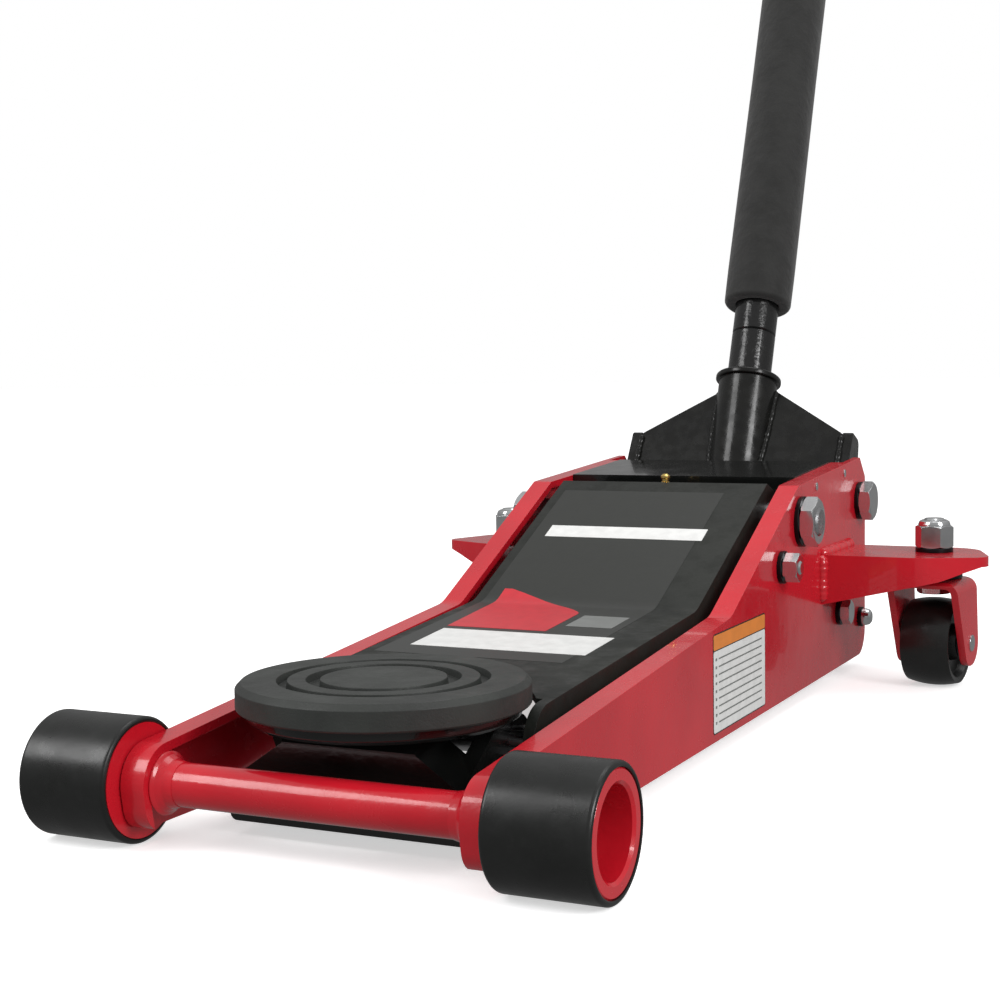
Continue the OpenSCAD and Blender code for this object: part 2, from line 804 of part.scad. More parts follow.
module saddle_plate() {
    rim_bottom = pad_bottom - 7.2;
    color("black") row() translate([0, saddle_y, 0]) rotate_extrude() polygon([
        [0, 10], [saddle_stem_radius - 1, 10], [saddle_stem_radius, 11],
        [saddle_stem_radius, carrier_top + gap],
        [40, carrier_top + gap], [46, rim_bottom], [66, rim_bottom], [70, rim_bottom + 2.6],
        [70, pad_bottom], [0, pad_bottom]
    ]);
}

// Rubber pad with two ring grooves in its face
module saddle_pad() {
    groove_floor = saddle_height - 4;
    edge = 3;
    color("darkslategray") row() translate([0, saddle_y, 0]) rotate_extrude() polygon([
        [0, pad_bottom], [pad_radius - 1, pad_bottom], [pad_radius, pad_bottom + 1],
        [pad_radius, saddle_height - edge], [pad_radius - edge, saddle_height],
        [54.3, saddle_height], [53.8, groove_floor], [49.3, groove_floor], [48.8, saddle_height],
        [39.5, saddle_height], [39, groove_floor], [32.7, groove_floor], [32.2, saddle_height],
        [0, saddle_height]
    ]);
}

// ---- Ram ----

// Rod with its piston at the rear and the crosshead block at the front
module ram_rod() {
    color("silver") row() difference() {
        union() {
            y_rod(ram_diameter / 2, ram_pin_y + 10, block_back - 32, 0, ram_z);
            y_rod(cylinder_diameter / 2 - 4 - clear, block_back - 32, block_back - 14, 0, ram_z);
            translate([-crank_in + 1, ram_pin_y - 13, ram_z - 13]) cube([2 * crank_in - 2, 26, 26]);
        }
        x_rod(ram_pin_radius, -crank_in, crank_in, ram_pin_y, ram_z);
    }
}

module ram_crosshead_pin() {
    color("gray") row() x_rod(ram_pin_radius, -spring_x - 5, spring_x + 5, ram_pin_y, ram_z);
}

// ---- Pump ----

module pump_plunger() {
    color("silver") row() {
        y_rod(plunger_radius, pump_face - 8, plunger_end, pump_x, pump_z);
        y_rod(plunger_radius + 4, collar_y, collar_y + 4, pump_x, pump_z);
    }
}

// Rear face of the gusset at height z along the handle
function gusset_rear(z) =
    gusset_front + gusset_thickness / cos(gusset_lean) - (gusset_pivot - z) * tan(gusset_lean);

// Fork behind the gusset that holds the roller against the plunger
module pump_roller_fork() {
    cheek = 5;
    inner = roller_width / 2 + gap;
    swing = handle_tilt + yoke_range / 2;
    roller = roller_arm * [sin(swing), -cos(swing)];
    color("dimgray") row() handle_frame() for (x0 = [pump_x - inner - cheek, pump_x + inner])
        across(x0, x0 + cheek) difference() {
            union() {
                translate(roller) circle(9);
                polygon([
                    roller + [-8.6, -2.6], roller + [8.8, 1.8], [22, 20],
                    [gusset_rear(46), 46], [gusset_rear(4), 4]
                ]);
            }
            translate(roller) circle(4 + clear);
        }
}

module pump_roller() {
    inner = roller_width / 2;
    color("silver") row() {
        x_rod(roller_radius, pump_x - inner, pump_x + inner, roller_y, roller_z);
        x_rod(4, pump_x - inner - 6, pump_x + inner + 6, roller_y, roller_z);
    }
}

// ---- Yoke ----

module yoke_ear(side) {
    eye = 26;
    color("black") row() on_side(side) handle_frame() difference() {
        across(ear_in, ear_out) {
            circle(eye);
            polygon(rounded([[-16, 0, 0], [eye, 0, 0], [14, ear_top, 6], [-6, ear_top, 3]]));
        }
        x_rod(ear_bolt_radius + clear, ear_in - 1, ear_out + 1, 0, 0);
    }
}

module yoke_ear_left() { yoke_ear(-1); }

module yoke_ear_right() { yoke_ear(1); }

// Web between the ears, rising to the socket and leaning back from the ears' front edges
module yoke_gusset() {
    color("black") row() handle_frame() difference() {
        translate([0, gusset_front, gusset_pivot]) rotate([-gusset_lean, 0, 0])
            translate([0, gusset_thickness, -gusset_pivot]) rotate([90, 0, 0])
                linear_extrude(height = gusset_thickness) polygon(rounded([
                    [-ear_in, 2, 0], [-ear_in + 22, -2, 6], [-26, 16, 0],
                    [26, 16, 0], [ear_in - 22, -2, 6], [ear_in, 2, 0],
                    [ear_in, ear_top - 2, 0], [ear_in - 2.5, ear_top, 6], [20, 94.3, 0],
                    [-20, 94.3, 0], [2.5 - ear_in, ear_top, 6], [-ear_in, ear_top - 2, 0]
                ]));
        z_rod(socket_radius, 0, 200, 0, 0);
    }
}

// Tube that the handle drops into, with a rolled rim
module handle_socket() {
    rim = 5;
    color("black") row() handle_frame() rotate_extrude() polygon([
        [5, socket_bottom], [socket_radius, socket_bottom], [socket_radius, socket_top - rim],
        [collar_radius - 0.8, socket_top - rim], [collar_radius, socket_top - rim + 0.8],
        [collar_radius, socket_top - 1.2], [collar_radius - 1.2, socket_top],
        [handle_radius + 2 * clear, socket_top], [handle_radius + 2 * clear, socket_bottom + 6],
        [5, socket_bottom + 6]
    ]);
}

// ---- Handle ----

module handle_lower_tube() {
    color("black") row() handle_frame() rotate_extrude() polygon([
        [tube_bore, socket_bottom + 7], [handle_radius, socket_bottom + 7],
        [handle_radius, tube_joint - 1], [handle_radius - 1, tube_joint], [tube_bore, tube_joint]
    ]);
}

// Upper length, with a spigot that drops into the lower one
module handle_upper_tube() {
    color("black") row() handle_frame() rotate_extrude() polygon([
        [tube_bore - tube_wall, tube_joint - 40], [tube_bore, tube_joint - 40], [tube_bore, tube_joint],
        [handle_radius - 1, tube_joint], [handle_radius, tube_joint + 1],
        [handle_radius, handle_length - 12], [tube_bore, handle_length - 12],
        [tube_bore, tube_joint + 12], [tube_bore - tube_wall, tube_joint + 10]
    ]);
}

// Plug in the handle's foot, with the ball-ended rod that turns the release valve
module handle_driver() {
    color("silver") row() handle_frame() {
        sphere(r = ball_radius);
        cylinder(r = 4, h = socket_bottom + 8);
        z_rod(tube_bore, socket_bottom + 8, socket_bottom + 20, 0, 0);
    }
}

module foam_sleeve() {
    r = foam_diameter / 2;
    color("darkslategray") row() handle_frame() rotate_extrude() polygon([
        [handle_radius, foam_start], [r - 2, foam_start], [r, foam_start + 2],
        [r, foam_start + foam_length - 2], [r - 2, foam_start + foam_length],
        [handle_radius, foam_start + foam_length]
    ]);
}

// Moulded grip that closes the handle's end
module handle_grip() {
    start = handle_length - grip_length;
    color("dimgray") row() handle_frame() rotate_extrude() polygon([
        [handle_radius, start], [grip_radius - 2, start], [grip_radius - 1, start + 8],
        [grip_radius, handle_length - 30], [grip_radius, handle_length - grip_chamfer],
        [grip_radius - grip_chamfer, handle_length], [0, handle_length], [0, handle_length - 12],
        [handle_radius, handle_length - 12]
    ]);
}

// Release valve spindle, with the cup that the handle's ball turns in
module release_stem() {
    cup = 12;
    color("silver") row() translate([0, yoke_y, yoke_z]) difference() {
        union() {
            translate([0, 0, -24]) cylinder(r = cup, h = 22);
            translate([0, 0, stem_foot - yoke_z]) cylinder(r = 6, h = yoke_z - stem_foot - 23);
        }
        sphere(r = ball_radius + 0.3);
    }
}

// ---- Wheels ----

// Steel hub with a deep outer recess
module front_hub(side) {
    color("firebrick") row() on_side(side) x_turned(0, wheel_radius, [
        [stub_radius + clear, wheel_inner], [hub_radius, wheel_inner], [hub_radius, wheel_outer - 1.6],
        [hub_radius - 1, wheel_outer - 0.6], [recess_radius + 1.5, wheel_outer - 0.6],
        [recess_radius, wheel_outer - 2], [recess_radius, recess_floor], [stub_radius + clear, recess_floor]
    ]);
}

module front_hub_left() { front_hub(-1); }

module front_hub_right() { front_hub(1); }

// Moulded tread with rounded shoulders, bonded round the hub
module front_tread(side) {
    shoulder = 2.2;
    arc = [for (t = [0:18:90]) shoulder * [sin(t), cos(t)]];
    color("black") row() on_side(side) x_turned(0, wheel_radius, concat(
        [[hub_radius, wheel_inner + 0.4], [hub_radius, wheel_outer - 0.4]],
        [for (v = arc) [wheel_radius - shoulder + v.x, wheel_outer - shoulder + v.y]],
        [for (v = arc) [wheel_radius - shoulder + v.y, wheel_inner + shoulder - v.x]]
    ));
}

module front_tread_left() { front_tread(-1); }

module front_tread_right() { front_tread(1); }

// Pressed fork hanging from the swivel bolt
module caster_fork(side) {
    half = fork_width / 2;
    inner = half - fork_leg;
    roof = fork_top - fork_plate;
    foot = 10;
    color("firebrick") row() at_swivel(side) difference() {
        intersection() {
            translate([0, 50, 0]) rotate([90, 0, 0]) linear_extrude(height = 100) polygon(rounded([
                [-half, foot, 0], [-inner, foot, 0], [-inner, roof, 4], [inner, roof, 4],
                [inner, foot, 0], [half, foot, 0], [half, fork_top, fork_bend], [-half, fork_top, fork_bend]
            ]));
            across(-half - 1, half + 1) polygon(rounded([
                [-3.5, 15.5, 12], [24, 15.5, 16], [18, fork_top, 3], [-31, fork_top, 3]
            ]));
        }
        z_rod(stem_radius + clear, roof - 1, fork_top + 1, 0, 0);
        x_rod(caster_axle_radius, -half - 1, half + 1, caster_trail, caster_radius);
    }
}

module caster_fork_left() { caster_fork(-1); }

module caster_fork_right() { caster_fork(1); }

// Riveted axle with a spacer on each side of the wheel
module caster_axle(side) {
    half = fork_width / 2;
    color("silver") row() at_swivel(side) {
        x_rod(caster_axle_radius, -half - 1, half + 1, caster_trail, caster_radius);
        both_sides()
            x_rod(10, caster_width / 2 + gap, half - fork_leg, caster_trail, caster_radius);
    }
}

module caster_axle_left() { caster_axle(-1); }

module caster_axle_right() { caster_axle(1); }

// Crowned wheel with dished sides
module caster_wheel(side) {
    half = caster_width / 2;
    crown = 2.5;
    crown_radius = (half * half + crown * crown) / (2 * crown);
    rim = caster_radius - crown;
    // Side of the wheel from the bore outwards: [radius, depth below the rim]
    dish = [
        [caster_axle_radius + clear, 0], [12, 0], [13.5, 6], [rim - 5.5, 6], [rim - 4, 0.8], [rim - 0.8, 0]
    ];
    color("black") row() at_swivel(side) x_turned(caster_trail, caster_radius, concat(
        [for (v = dish) [v.x, v.y - half]],
        [for (k = [-8:8]) let(x = half * k / 8)
            [caster_radius - crown_radius + sqrt(crown_radius * crown_radius - x * x), x]],
        [for (k = [len(dish) - 1:-1:0]) [dish[k].x, half - dish[k].y]]
    ));
}

module caster_wheel_left() { caster_wheel(-1); }

module caster_wheel_right() { caster_wheel(1); }

side_plate_left();
side_plate_right();
front_axle();
axle_retainers();
caster_bracket_left();
caster_bracket_right();
caster_stems();
caster_nuts();
swivel_bearings();
top_cover();
cover_screws();
main_pivot_shaft();
main_pivot_nuts();
link_anchor_bolts();
yoke_pivot_bolts();
bolt_washers();
reservoir();
ram_cylinder();
ram_gland();
valve_block();
pump_body();
filler_plug();
mounting_bolts();
return_springs();
pump_spring();
lift_arm();
pivot_hub();
ram_crank();
carrier_pin();
grease_nipple();
saddle_carrier();
carrier_link_pins();
link_arms();
saddle_plate();
saddle_pad();
ram_rod();
ram_crosshead_pin();
pump_plunger();
yoke_ear_left();
yoke_ear_right();
yoke_gusset();
handle_socket();
pump_roller_fork();
pump_roller();
handle_lower_tube();
handle_upper_tube();
handle_driver();
foam_sleeve();
handle_grip();
release_stem();
front_hub_left();
front_hub_right();
front_tread_left();
front_tread_right();
caster_fork_left();
caster_fork_right();
caster_axle_left();
caster_axle_right();
caster_wheel_left();
caster_wheel_right();
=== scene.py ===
import math
import random

import bmesh
import bpy
from mathutils import Matrix, Vector
from mathutils.bvhtree import BVHTree
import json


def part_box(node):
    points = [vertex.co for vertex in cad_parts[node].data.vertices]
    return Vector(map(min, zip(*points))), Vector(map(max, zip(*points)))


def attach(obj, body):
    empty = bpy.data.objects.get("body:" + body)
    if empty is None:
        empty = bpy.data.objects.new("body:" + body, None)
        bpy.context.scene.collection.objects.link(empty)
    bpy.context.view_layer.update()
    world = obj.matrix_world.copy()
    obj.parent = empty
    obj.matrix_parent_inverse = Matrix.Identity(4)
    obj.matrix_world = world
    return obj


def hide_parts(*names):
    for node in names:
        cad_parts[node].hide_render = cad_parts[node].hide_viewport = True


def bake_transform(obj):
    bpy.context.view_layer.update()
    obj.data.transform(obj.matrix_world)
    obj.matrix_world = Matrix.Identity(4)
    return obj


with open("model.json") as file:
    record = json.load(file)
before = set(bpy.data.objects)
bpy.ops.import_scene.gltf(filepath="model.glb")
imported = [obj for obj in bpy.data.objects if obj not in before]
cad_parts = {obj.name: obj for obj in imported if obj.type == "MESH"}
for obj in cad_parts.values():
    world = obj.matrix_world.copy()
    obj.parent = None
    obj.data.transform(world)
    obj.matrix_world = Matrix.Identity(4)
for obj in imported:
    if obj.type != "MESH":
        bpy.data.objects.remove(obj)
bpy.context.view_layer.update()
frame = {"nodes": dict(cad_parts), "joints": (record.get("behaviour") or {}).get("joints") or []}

MM = 0.001
NODES = frame["nodes"]
JOINTS = {j["name"]: j for j in frame["joints"]}
COLLECTION = bpy.context.scene.collection
random.seed(7)


# ---- Places taken from the frame ----

def middle(node):
    """Middle of a node's box."""
    low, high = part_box(node)
    return (low + high) / 2


AXLE = middle("front_axle")
YOKE = Vector(JOINTS["yoke_tilt"]["pos_m"])
HANDLE_AXIS = Vector(JOINTS["handle_twist"]["axis"]).normalized()
FLANGE_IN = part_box("side_plate_right")[0].x
PLATE_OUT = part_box("side_plate_right")[1].x
SIDES = ((1, "right"), (-1, "left"))


def station(y):
    """The frame's Y of a station y millimetres behind the front axle."""
    return AXLE.y + y * MM


# ---- Camera ----

# Azimuth, elevation and roll in degrees
CAMERA_ANGLES = (26.16, 4.12, -0.85)
# Millimetres to the right, behind the front axle and above the floor
CAMERA_PLACE = (430.4, -678.7, 231.8)
CAMERA_LENS = 61.72
CAMERA_SHIFT = (0.0045, -0.0035)


def add_camera():
    azimuth, elevation, roll = (math.radians(angle) for angle in CAMERA_ANGLES)
    back = Vector((math.sin(azimuth) * math.cos(elevation), -math.cos(azimuth) * math.cos(elevation),
                   math.sin(elevation)))
    level = (-back).cross(Vector((0, 0, 1))).normalized()
    upright = level.cross(-back)
    right = math.cos(roll) * level + math.sin(roll) * upright
    up = math.cos(roll) * upright - math.sin(roll) * level
    data = bpy.data.cameras.new("camera")
    data.lens = CAMERA_LENS
    data.sensor_width = 36
    data.shift_x, data.shift_y = CAMERA_SHIFT
    data.clip_end = 50
    camera = bpy.data.objects.new("camera", data)
    turn = Matrix((right, up, back)).transposed().to_4x4()
    right_of, behind, above = CAMERA_PLACE
    camera.matrix_world = Matrix.Translation((right_of * MM, station(behind), above * MM)) @ turn
    COLLECTION.objects.link(camera)
    bpy.context.scene.camera = camera


# ---- Light and floor ----

def add_area_light(name, place, target, size, power):
    data = bpy.data.lights.new(name, "AREA")
    data.shape = "RECTANGLE"
    data.size = size[0]
    data.size_y = size[1]
    data.energy = power
    light = bpy.data.objects.new(name, data)
    light.location = place
    light.rotation_euler = (Vector(target) - Vector(place)).to_track_quat("-Z", "Y").to_euler()
    COLLECTION.objects.link(light)


def add_world():
    """White to the camera; soft light from above for matte surfaces and a dimmer room for gloss to mirror."""
    world = bpy.data.worlds.new("studio")
    world.use_nodes = True
    tree = world.node_tree
    ray = tree.nodes.new("ShaderNodeLightPath")
    where = tree.nodes.new("ShaderNodeTexCoord")
    split = tree.nodes.new("ShaderNodeSeparateXYZ")
    tree.links.new(where.outputs["Generated"], split.inputs["Vector"])

    def by_height(low, high, below, above):
        """Strength that goes from below to above while the ray's height goes from low to high."""
        spread = tree.nodes.new("ShaderNodeMapRange")
        for socket, value in zip(("From Min", "From Max", "To Min", "To Max"), (low, high, below, above)):
            spread.inputs[socket].default_value = value
        tree.links.new(split.outputs["Z"], spread.inputs["Value"])
        return spread.outputs["Result"]

    def choose(factor, a, b):
        """Strength a where the factor is 0 and b where it is 1."""
        made = tree.nodes.new("ShaderNodeMix")
        tree.links.new(factor, made.inputs["Factor"])
        tree.links.new(a, made.inputs["A"])
        if isinstance(b, bpy.types.NodeSocket):
            tree.links.new(b, made.inputs["B"])
        else:
            made.inputs["B"].default_value = b
        return made.outputs["Result"]

    soft = by_height(-0.4, 0.5, 0.42, 0.8)
    mirrored = choose(ray.outputs["Is Glossy Ray"], soft, by_height(-0.1, 0.9, 0.22, 0.52))
    seen = choose(ray.outputs["Is Camera Ray"], mirrored, 1.0)
    tree.links.new(seen, tree.nodes["Background"].inputs["Strength"])
    tree.nodes["Background"].inputs["Color"].default_value = (1, 1, 1, 1)
    bpy.context.scene.world = world


def add_lights():
    add_area_light("key", (-1.3, -1.6, 1.5), (0, -0.1, 0.1), (0.9, 1.1), 18)
    add_area_light("fill", (1.9, -1.0, 1.15), (0, 0, 0.1), (0.8, 0.9), 24)
    add_area_light("top", (0.2, 0.6, 2.4), (0, 0, 0.1), (1.3, 1.3), 12)


def add_floor():
    """Pale floor that takes shadows but colours nothing above it."""
    bpy.ops.mesh.primitive_plane_add(size=60)
    floor = bpy.context.object
    floor.name = "floor"
    floor.visible_glossy = False
    floor.visible_diffuse = False
    paper = bpy.data.materials.new("floor_paper")
    paper.use_nodes = True
    shader = paper.node_tree.nodes["Principled BSDF"]
    shader.inputs["Base Color"].default_value = (0.8, 0.8, 0.8, 1)
    shader.inputs["Roughness"].default_value = 1.0
    shader.inputs["Specular IOR Level"].default_value = 0.0
    shader.inputs["Emission Color"].default_value = (1, 1, 1, 1)
    shader.inputs["Emission Strength"].default_value = 0.55
    floor.data.materials.append(paper)


# ---- Materials ----

def srgb(r, g, b):
    """Linear colour of an sRGB triple from 0 to 255."""
    parts = (r / 255, g / 255, b / 255)
    return tuple(c / 12.92 if c <= 0.04045 else ((c + 0.055) / 1.055) ** 2.4 for c in parts)


class Shader:
    """A Principled material with helpers for procedural colour, roughness and relief."""

    def __init__(self, name, roughness, metallic=0.0, coat=0.0, coat_roughness=0.03, specular=0.5, sheen=0.0):
        self.material = bpy.data.materials.new(name)
        self.material.use_nodes = True
        self.tree = self.material.node_tree
        self.main = self.tree.nodes["Principled BSDF"]
        self.set("Roughness", roughness)
        self.set("Metallic", metallic)
        self.set("Coat Weight", coat)
        self.set("Coat Roughness", coat_roughness)
        self.set("Specular IOR Level", specular)
        self.set("Sheen Weight", sheen)
        self.where = self.node("ShaderNodeTexCoord").outputs["Object"]
        self.height = None

    def node(self, kind, **settings):
        made = self.tree.nodes.new(kind)
        for key, value in settings.items():
            setattr(made, key, value)
        return made

    def link(self, a, b):
        self.tree.links.new(a, b)

    def set(self, socket, value):
        self.main.inputs[socket].default_value = value

    def stretched(self, scale):
        mapping = self.node("ShaderNodeMapping")
        mapping.inputs["Scale"].default_value = scale
        self.link(self.where, mapping.inputs["Vector"])
        return mapping.outputs["Vector"]

    def noise(self, scale, detail=2.0, rough=0.5, stretch=None, low=0.35, high=0.65):
        """Noise between 0 and 1, scale in features per metre, spread between low and high."""
        made = self.node("ShaderNodeTexNoise")
        made.inputs["Scale"].default_value = scale
        made.inputs["Detail"].default_value = detail
        made.inputs["Roughness"].default_value = rough
        self.link(self.stretched(stretch) if stretch else self.where, made.inputs["Vector"])
        spread = self.node("ShaderNodeMapRange")
        spread.inputs["From Min"].default_value = low
        spread.inputs["From Max"].default_value = high
        self.link(made.outputs["Fac"], spread.inputs["Value"])
        return spread.outputs["Result"]

    def mix(self, factor, a, b):
        """Colour between a and b; each is a colour or an earlier output."""
        made = self.node("ShaderNodeMix", data_type="RGBA")
        self.link(factor, made.inputs["Factor"])
        for socket, value in ((made.inputs[6], a), (made.inputs[7], b)):
            if isinstance(value, bpy.types.NodeSocket):
                self.link(value, socket)
            else:
                socket.default_value = (*value, 1)
        return made.outputs[2]

    def colour(self, source):
        self.link(source, self.main.inputs["Base Color"])
        return self

    def roughen(self, factor, low, high):
        spread = self.node("ShaderNodeMapRange")
        spread.inputs["To Min"].default_value = low
        spread.inputs["To Max"].default_value = high
        self.link(factor, spread.inputs["Value"])
        self.link(spread.outputs["Result"], self.main.inputs["Roughness"])
        return self

    def relief(self, factor, depth):
        """Adds a bump of that depth in metres; later ones lie on earlier ones."""
        bump = self.node("ShaderNodeBump")
        bump.inputs["Distance"].default_value = depth
        bump.inputs["Strength"].default_value = 1.0
        self.link(factor, bump.inputs["Height"])
        if self.height:
            self.link(self.height, bump.inputs["Normal"])
        self.height = bump.outputs["Normal"]
        self.link(self.height, self.main.inputs["Normal"])
        return self


def enamel(name, colour, shade, roughness, peel=0.00003, coat=0.3, specular=0.4):
    """Gloss paint with faint orange peel, slight colour drift and a few dull smears."""
    s = Shader(name, roughness, coat=coat, specular=specular)
    drift = s.noise(14, 3)
    s.colour(s.mix(drift, colour, shade))
    s.roughen(s.noise(55, 4, 0.6), roughness * 0.8, roughness * 1.5)
    s.relief(s.noise(420, 1, 0.4), peel)
    s.relief(s.noise(60, 2, 0.5), peel * 2)
    return s.material


def cast_enamel(name, colour, shade):
    """Thick black paint over a rough casting or weldment."""
    s = Shader(name, 0.22, coat=0.2, coat_roughness=0.08, specular=0.3)
    s.colour(s.mix(s.noise(40, 3), colour, shade))
    s.roughen(s.noise(120, 3), 0.16, 0.34)
    s.relief(s.noise(60, 1, 0.4), 0.00016)
    s.relief(s.noise(300, 1, 0.4), 0.00002)
    return s.material


def plated(name, colour, roughness):
    """Bright or blackened plating, slightly cloudy."""
    s = Shader(name, roughness, metallic=1.0)
    cloud = s.noise(90, 3)
    s.colour(s.mix(cloud, colour, tuple(c * 0.9 for c in colour)))
    s.roughen(s.noise(60, 3, 0.5), roughness * 0.8, roughness * 1.3)
    s.relief(s.noise(900, 2), 0.000002)
    return s.material


def machined(name, colour, roughness):
    """Turned or drawn steel with fine drawn lines across X."""
    s = Shader(name, roughness, metallic=1.0)
    s.colour(s.mix(s.noise(50, 3), colour, tuple(c * 0.7 for c in colour)))
    s.roughen(s.noise(120, 3, stretch=(0.3, 6, 6)), roughness * 0.7, roughness * 1.5)
    s.relief(s.noise(700, 2, stretch=(4, 1, 1)), 0.00001)
    return s.material


def elastomer(name, colour, shade, roughness, grain, depth, dust=0.0):
    """Rubber or hard tread: fine moulded grain, cloudy bloom and scuffs."""
    s = Shader(name, roughness, specular=0.45)
    bloom = s.noise(28, 5, 0.6)
    base = s.mix(bloom, colour, shade)
    if dust:
        base = s.mix(s.noise(160, 6, 0.7, low=0.52, high=0.9), base, tuple(c + dust for c in shade))
    s.colour(base)
    s.roughen(s.noise(60, 4, 0.6), roughness * 0.85, min(1, roughness * 1.25))
    s.relief(s.noise(grain, 2, 0.5), depth)
    return s.material


def foam_skin(name):
    """Closed-cell foam: matte, minutely pitted."""
    s = Shader(name, 0.78, specular=0.3, sheen=0.25)
    s.colour(s.mix(s.noise(45, 4), srgb(38, 38, 37), srgb(30, 30, 29)))
    pits = s.node("ShaderNodeTexVoronoi")
    pits.inputs["Scale"].default_value = 1500
    s.link(s.where, pits.inputs["Vector"])
    s.relief(pits.outputs["Distance"], 0.00012)
    s.relief(s.noise(90, 3), 0.0003)
    return s.material


def printed(name, colour, roughness=0.35):
    """Flat printed film, faintly uneven."""
    s = Shader(name, roughness, coat=0.15, coat_roughness=0.2)
    s.colour(s.mix(s.noise(120, 3), colour, tuple(c * 0.9 for c in colour)))
    s.relief(s.noise(300, 2), 0.00001)
    return s.material


RED = enamel("red_enamel", srgb(198, 26, 40), srgb(184, 20, 35), 0.2, coat=0.5)
BLACK = enamel("black_enamel", srgb(22, 23, 22), srgb(15, 16, 15), 0.16)
ARM_BLACK = enamel("arm_satin", srgb(34, 36, 32), srgb(29, 31, 28), 0.42,
                   peel=0.00002, coat=0.0, specular=0.3)
MIRROR_BLACK = enamel("cover_enamel", srgb(16, 17, 16), srgb(11, 12, 11), 0.14, peel=0.000006, coat=0.4)
CAST_BLACK = cast_enamel("cast_black_enamel", srgb(20, 20, 18), srgb(13, 13, 12))
HANDLE_BLACK = enamel("handle_enamel", srgb(20, 20, 20), srgb(13, 13, 13), 0.2, peel=0.00008)
ZINC = plated("zinc_plate", (0.74, 0.75, 0.76), 0.14)
STEEL = machined("machined_steel", (0.5, 0.5, 0.51), 0.3)
BLACK_OXIDE = plated("black_oxide", (0.025, 0.025, 0.027), 0.38)
CASTING = cast_enamel("grey_casting", srgb(46, 47, 48), srgb(34, 35, 36))
BRASS = plated("turned_brass", (0.83, 0.6, 0.2), 0.22)
SPRING = machined("spring_wire", (0.32, 0.32, 0.33), 0.35)
PAD_RUBBER = elastomer("saddle_rubber", srgb(50, 53, 50), srgb(42, 44, 42), 0.5, 900, 0.00004, dust=0.012)
TREAD = elastomer("hard_tread", srgb(27, 28, 27), srgb(21, 22, 21), 0.3, 420, 0.00001, dust=0.008)
FOAM = foam_skin("foam")
GRIP = elastomer("grip_rubber", srgb(36, 36, 38), srgb(28, 28, 30), 0.62, 1100, 0.00006)
DECAL_FIELD = printed("decal_charcoal", srgb(31, 33, 29), 0.36)
WHITE_PRINT = printed("white_print", srgb(226, 226, 224))
RED_PRINT = printed("red_print", srgb(196, 30, 44))
GREY_PRINT = printed("grey_print", srgb(120, 122, 120))
ORANGE_PRINT = printed("orange_print", srgb(226, 134, 54))
DARK_PRINT = printed("dark_print", srgb(30, 30, 30))

NODE_MATERIALS = {
    RED: ["side_plate_left", "side_plate_right", "front_axle", "caster_bracket_left", "caster_bracket_right",
          "front_hub_left", "front_hub_right", "caster_fork_left", "caster_fork_right"],
    ARM_BLACK: ["lift_arm"],
    BLACK: ["pivot_hub", "ram_crank", "saddle_carrier", "saddle_plate", "link_arms"],
    MIRROR_BLACK: ["top_cover"],
    CAST_BLACK: ["yoke_ear_left", "yoke_ear_right", "yoke_gusset", "handle_socket", "pump_roller_fork"],
    HANDLE_BLACK: ["handle_lower_tube", "handle_upper_tube"],
    ZINC: ["axle_retainers", "caster_stems", "caster_nuts", "cover_screws", "main_pivot_nuts",
           "link_anchor_bolts", "yoke_pivot_bolts", "mounting_bolts",
           "caster_axle_left", "caster_axle_right"],
    STEEL: ["main_pivot_shaft", "carrier_pin", "carrier_link_pins", "ram_rod", "ram_crosshead_pin",
            "pump_plunger", "pump_roller", "handle_driver", "release_stem", "ram_cylinder", "pump_body"],
    BLACK_OXIDE: ["bolt_washers", "swivel_bearings", "ram_gland"],
    CASTING: ["reservoir", "valve_block"],
    BRASS: ["grease_nipple", "filler_plug"],
    SPRING: ["return_springs", "pump_spring"],
    PAD_RUBBER: ["saddle_pad"],
    TREAD: ["front_tread_left", "front_tread_right", "caster_wheel_left", "caster_wheel_right"],
    FOAM: ["foam_sleeve"],
    GRIP: ["handle_grip"],
}


def paint_nodes():
    """Gives each CAD node its one material."""
    for material, names in NODE_MATERIALS.items():
        for name in names:
            mesh = NODES[name].data
            mesh.materials.clear()
            mesh.materials.append(material)


# ---- Edges of the CAD nodes ----

# Radius of the edges of each node, in millimetres
EDGE_RADII = {
    2.0: ["side_plate_left", "side_plate_right"],
    1.8: ["lift_arm"],
    1.5: ["saddle_carrier"],
    1.0: ["yoke_ear_left", "yoke_ear_right", "yoke_gusset", "caster_bracket_left", "caster_bracket_right",
          "reservoir", "valve_block", "saddle_plate"],
    0.7: ["caster_fork_left", "caster_fork_right", "top_cover", "link_arms", "ram_crank", "pump_body",
          "pump_roller_fork", "handle_socket", "ram_rod"],
    0.35: ["saddle_pad", "main_pivot_nuts", "link_anchor_bolts", "yoke_pivot_bolts", "mounting_bolts",
           "caster_nuts", "bolt_washers", "caster_stems", "swivel_bearings", "pivot_hub", "pump_plunger",
           "filler_plug", "ram_gland", "caster_axle_left", "caster_axle_right", "cover_screws",
           "axle_retainers"],
}


# Nodes made of round faces, which keep their edges and are only shaded smooth
ROUND_NODES = [
    "front_axle", "front_hub_left", "front_hub_right", "front_tread_left", "front_tread_right",
    "caster_wheel_left", "caster_wheel_right", "handle_lower_tube", "handle_upper_tube", "main_pivot_shaft",
    "grease_nipple", "ram_cylinder", "release_stem", "pump_roller",
]


def shade_smooth(mesh):
    for face in mesh.polygons:
        face.use_smooth = True


